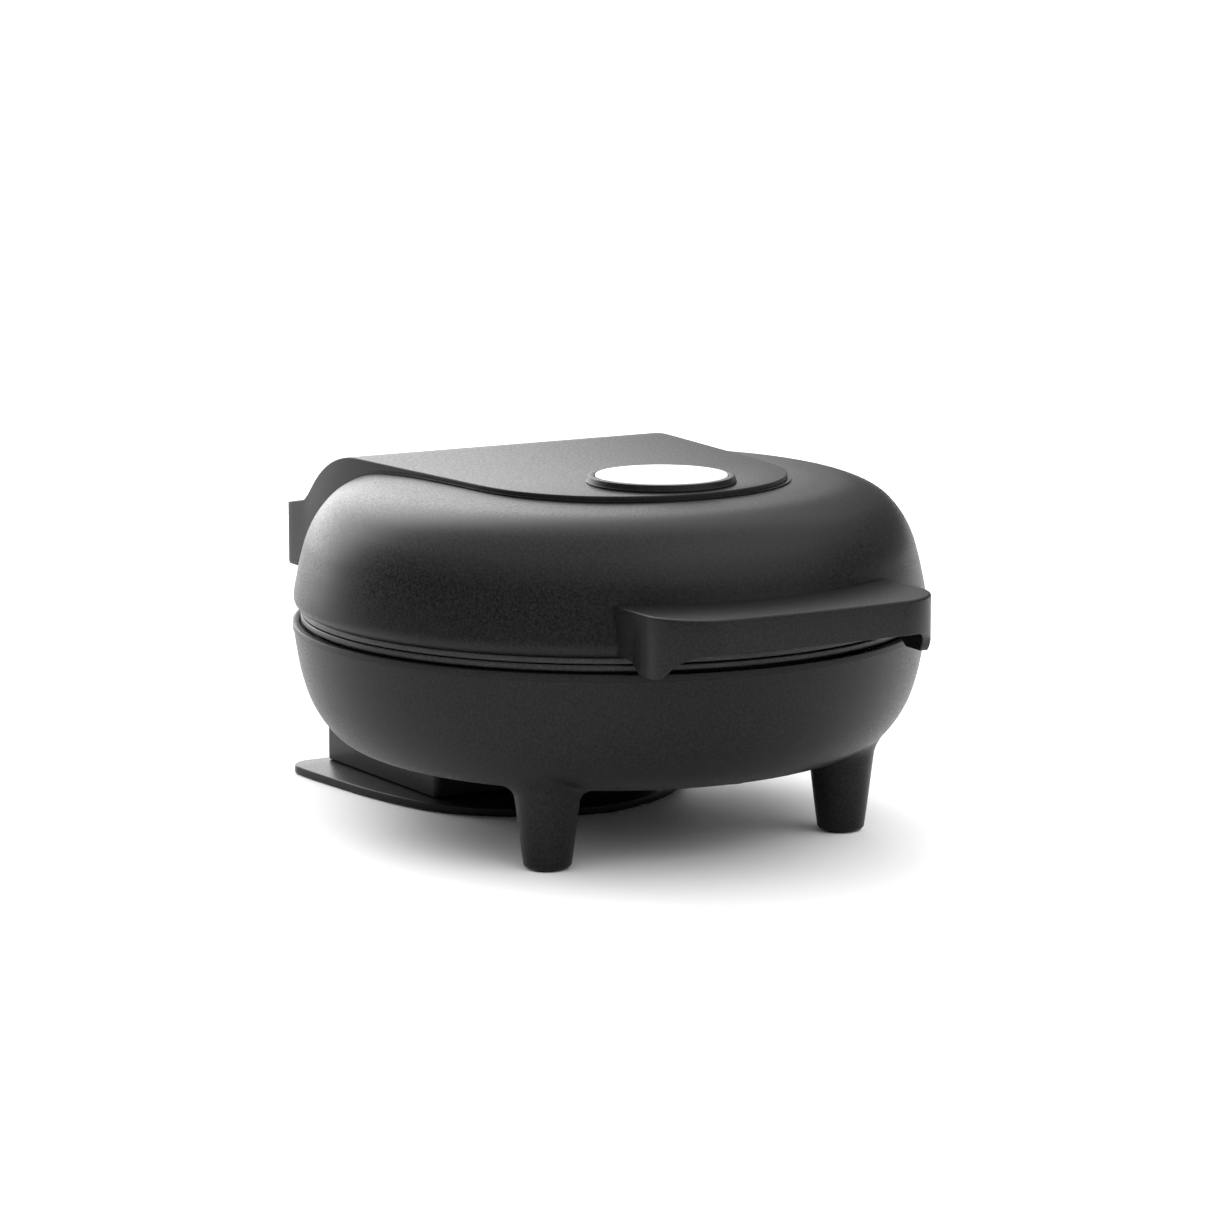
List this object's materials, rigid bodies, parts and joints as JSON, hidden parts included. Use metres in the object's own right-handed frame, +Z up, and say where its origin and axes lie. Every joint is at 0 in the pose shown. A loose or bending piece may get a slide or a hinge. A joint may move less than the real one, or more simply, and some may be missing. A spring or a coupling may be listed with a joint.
{
  "type": "donut maker",
  "caption": "Round clamshell donut maker: domed lid on a rear hinge, ringed plates inside, front feet, and a rear stand that winds up the cord.",
  "frame": {"origin": "centre of the object's box, at the surface it stands on", "axes": "+Z up, -Y towards the handle at the front, +Y towards the hinge, +X to the right of someone facing the handle"},
  "size_m": [0.208, 0.2462, 0.1186],
  "materials": {
    "black_plastic": "matte black moulded plastic with a very fine grain",
    "nonstick_aluminium": "cast aluminium with a dark non-stick coating",
    "bare_aluminium": "bare pressed aluminium",
    "steel": "zinc-plated or stainless steel",
    "rubber": "black moulded rubber",
    "white_lens": "white translucent plastic, finely textured",
    "ceramic": "off-white ceramic or heat-proof plastic",
    "power_lamp": "clear red lamp",
    "ready_lamp": "clear green lamp"
  },
  "bodies": {
    "base": {"base_shell": "black_plastic", "rear_housing": "black_plastic", "cord_wrap_plate": "black_plastic", "foot_pad_left": "rubber", "foot_pad_right": "rubber", "rear_pad_left": "rubber", "rear_pad_right": "rubber", "cord_gland": "rubber", "lower_cooking_plate": "nonstick_aluminium", "lower_heating_element": "steel", "lower_heat_shield": "bare_aluminium", "thermostat": "bare_aluminium", "thermal_fuse": "ceramic", "terminal_block": "ceramic", "hinge_pin_left": "steel", "hinge_pin_right": "steel", "base_screw_front": "steel", "base_screw_left": "steel", "base_screw_right": "steel", "housing_screw_left": "steel", "housing_screw_right": "steel", "wrap_screw_front": "steel", "wrap_screw_left": "steel", "wrap_screw_right": "steel"},
    "lid": {"lid_shell": "black_plastic", "top_strap": "black_plastic", "handle": "black_plastic", "lens_bezel": "black_plastic", "indicator_lens": "white_lens", "lamp_holder": "ceramic", "power_lamp": "power_lamp", "ready_lamp": "ready_lamp", "upper_cooking_plate": "nonstick_aluminium", "upper_heating_element": "steel", "upper_heat_shield": "bare_aluminium", "shield_screw_front": "steel", "shield_screw_left": "steel", "shield_screw_right": "steel", "lid_screw_left": "steel", "lid_screw_rear": "steel", "lid_screw_right": "steel", "strap_screw_left": "steel", "strap_screw_right": "steel", "handle_screw_left": "steel", "handle_screw_right": "steel"}
  },
  "joints": [
    {"name": "lid_hinge", "type": "hinge", "parent": "base", "child": "lid", "pos_m": [0, 0.11345, 0.082], "axis": [-1, 0, 0], "range_deg": [0, 100]}
  ]
}
